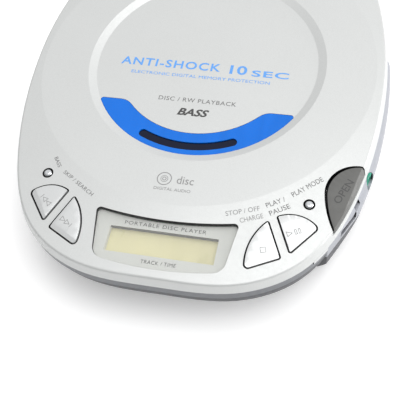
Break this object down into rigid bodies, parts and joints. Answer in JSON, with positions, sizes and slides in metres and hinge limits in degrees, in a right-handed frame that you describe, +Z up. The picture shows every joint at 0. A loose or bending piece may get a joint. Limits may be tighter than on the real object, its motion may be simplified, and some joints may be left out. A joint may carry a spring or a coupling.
{
  "type": "portable cd player",
  "caption": "Portable disc player with a hinged lid, display window, sprung keys, open button, volume wheel, spindle and sliding laser pickup.",
  "frame": {"origin": "on the table under the middle of the whole footprint", "axes": "+Z up, -Y towards the front edge with the display, +Y towards the lid's hinge, +X towards the side with the jack and the volume wheel"},
  "size_m": [0.1339, 0.1559, 0.029],
  "materials": {
    "silver_lid": "satin silver paint on plastic",
    "silver_keys": "satin silver paint",
    "round_keys": "polished",
    "grey_cabinet": "fine satin grey",
    "dark_shell": "fine satin dark grey",
    "open_grey": "satin charcoal",
    "black_plastic": "matte black",
    "green_plastic": "satin green",
    "blue_window": "clear tinted blue",
    "smoked_window": "smoked navy",
    "clear_lens": "clear",
    "mask": "matt silver print",
    "lcd": "yellow-green liquid crystal",
    "board": "green solder mask",
    "chips": "moulded black",
    "can": "sleeved can",
    "rubber": "matt",
    "steel": "plated",
    "motor_can": "zinc plated",
    "cell_jacket": "printed jacket",
    "gear_white": "acetal"
  },
  "bodies": {
    "case": {"upper_cabinet": "grey_cabinet", "side_panel": "grey_cabinet", "bottom_shell": "dark_shell", "rubber_feet": "rubber", "case_screws": "steel", "battery_cells": "cell_jacket", "contact_plates": "steel", "contact_springs": "steel", "dc_jack": "black_plastic", "main_board": "board", "main_chips": "chips", "capacitors": "can", "jack_board": "board", "headphone_jack": "green_plastic", "volume_pot": "black_plastic", "hold_switch": "black_plastic", "lid_switch": "black_plastic", "open_spring": "steel", "hinge_pins": "steel", "lid_springs": "steel", "mechanism_chassis": "steel", "guide_rods": "steel", "dampers": "rubber", "damper_screws": "steel", "spindle_motor": "motor_can", "sled_motor": "motor_can"},
    "lid": {"lid_cover": "silver_lid", "lid_inner_panel": "black_plastic", "lid_screws": "steel", "disc_window": "blue_window", "window_insert": "smoked_window", "lcd_lens": "clear_lens", "lcd_mask": "mask", "lcd_glass": "lcd", "control_board": "board", "key_switches": "chips"},
    "skip_back": {"skip_back_key": "silver_keys"},
    "skip_forward": {"skip_forward_key": "silver_keys"},
    "stop": {"stop_key": "silver_keys"},
    "play": {"play_key": "silver_keys"},
    "bass": {"bass_key": "round_keys"},
    "mode": {"mode_key": "round_keys"},
    "open_button": {"open_button": "open_grey"},
    "volume_wheel": {"volume_wheel": "black_plastic"},
    "hold_knob": {"hold_knob": "black_plastic"},
    "battery_door": {"battery_door": "dark_shell"},
    "turntable": {"turntable": "black_plastic", "hub_balls": "steel"},
    "pickup": {"pickup_body": "black_plastic", "objective_lens": "clear_lens", "pickup_rack": "gear_white"},
    "drive_gear": {"drive_gear": "gear_white"},
    "motor_pinion": {"motor_pinion": "gear_white"}
  },
  "joints": [
    {"name": "lid_hinge", "type": "hinge", "parent": "case", "child": "lid", "pos_m": [-0.0008, 0.07455, 0.0262], "axis": [-1, 0, 0], "range_deg": [0, 75]},
    {"name": "skip_back_press", "type": "slide", "parent": "lid", "child": "skip_back", "axis": [0, 0, -1], "range_m": [0, 0.00045], "stiffness_N_per_m": 300, "springref_m": -0.0005},
    {"name": "skip_forward_press", "type": "slide", "parent": "lid", "child": "skip_forward", "axis": [0, 0, -1], "range_m": [0, 0.00045], "stiffness_N_per_m": 300, "springref_m": -0.0005},
    {"name": "stop_press", "type": "slide", "parent": "lid", "child": "stop", "axis": [0, 0, -1], "range_m": [0, 0.00045], "stiffness_N_per_m": 300, "springref_m": -0.0005},
    {"name": "play_press", "type": "slide", "parent": "lid", "child": "play", "axis": [0, 0, -1], "range_m": [0, 0.00045], "stiffness_N_per_m": 300, "springref_m": -0.0005},
    {"name": "bass_press", "type": "slide", "parent": "lid", "child": "bass", "axis": [0, 0, -1], "range_m": [0, 0.00045], "stiffness_N_per_m": 300, "springref_m": -0.0005},
    {"name": "mode_press", "type": "slide", "parent": "lid", "child": "mode", "axis": [0, 0, -1], "range_m": [0, 0.00045], "stiffness_N_per_m": 300, "springref_m": -0.0005},
    {"name": "open_press", "type": "slide", "parent": "case", "child": "open_button", "axis": [-0.9344, 0.3562, 0], "range_m": [0, 0.001], "stiffness_N_per_m": 400, "springref_m": -0.001, "deforming": ["open_spring"]},
    {"name": "volume_turn", "type": "hinge", "parent": "case", "child": "volume_wheel", "pos_m": [0.0526, -0.04245, 0.0186], "axis": [0, 0, 1], "range_deg": [0, 270]},
    {"name": "hold_slide", "type": "slide", "parent": "case", "child": "hold_knob", "axis": [-0.3562, -0.9344, 0], "range_m": [0, 0.0016]},
    {"name": "battery_door_slide", "type": "slide", "parent": "case", "child": "battery_door", "axis": [0, -1, 0], "range_m": [0, 0.036]},
    {"name": "disc_spin", "type": "hinge", "parent": "case", "child": "turntable", "pos_m": [-0.0008, 0.01095, 0.0209], "axis": [0, 0, 1], "continuous": true},
    {"name": "gear_turn", "type": "hinge", "parent": "case", "child": "drive_gear", "pos_m": [-0.00322, 0.0453, 0.008], "axis": [0, 0, -1], "range_deg": [0, 533]},
    {"name": "pinion_turn", "type": "hinge", "parent": "case", "child": "motor_pinion", "pos_m": [0.00832, 0.04429, 0.0062], "axis": [0, 0, -1], "range_deg": [-1916, 0]},
    {"name": "pickup_slide", "type": "slide", "parent": "case", "child": "pickup", "axis": [-0.7071, 0.7071, 0], "range_m": [0, 0.0325]}
  ],
  "couplings": [
    {"joint": "gear_turn", "follows": "pickup_slide", "rad_per_m": 285.71},
    {"joint": "pinion_turn", "follows": "pickup_slide", "rad_per_m": -1028.6}
  ]
}
